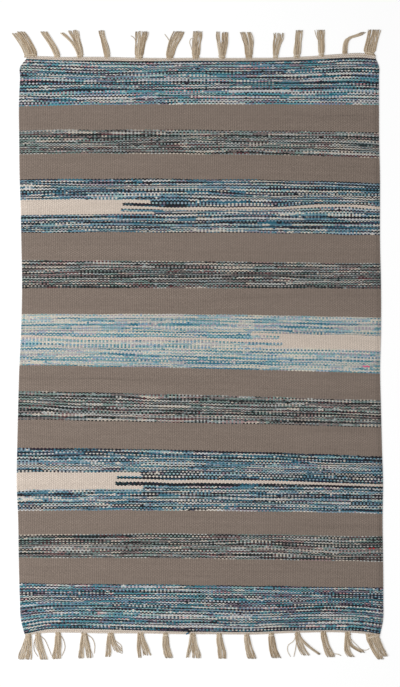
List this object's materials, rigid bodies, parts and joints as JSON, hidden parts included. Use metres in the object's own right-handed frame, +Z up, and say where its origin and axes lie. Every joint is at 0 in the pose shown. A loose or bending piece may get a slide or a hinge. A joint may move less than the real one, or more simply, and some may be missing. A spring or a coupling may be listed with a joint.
{
  "type": "striped kilim rug",
  "caption": "Flat-woven striped cotton rug lying flat, with uneven selvedges, a cream heading and a knotted tassel fringe at each end.",
  "frame": {"origin": "middle of the whole rug's footprint, on the surface that it lies on", "axes": "+Z up out of the rug's face, +Y along its length towards the north end, +X across it towards the east selvedge"},
  "size_m": [0.7182, 1.216, 0.0055],
  "materials": {
    "woven_cotton": "matt plain-woven cotton, warm taupe bands between mottled teal, blue, charcoal and cream bands",
    "warp_cotton": "matt undyed cotton warp ends, loosely twisted and knotted in tassels"
  },
  "bodies": {
    "root": {"woven_panel": "woven_cotton", "fringe_south": "warp_cotton", "fringe_north": "warp_cotton"}
  },
  "joints": []
}
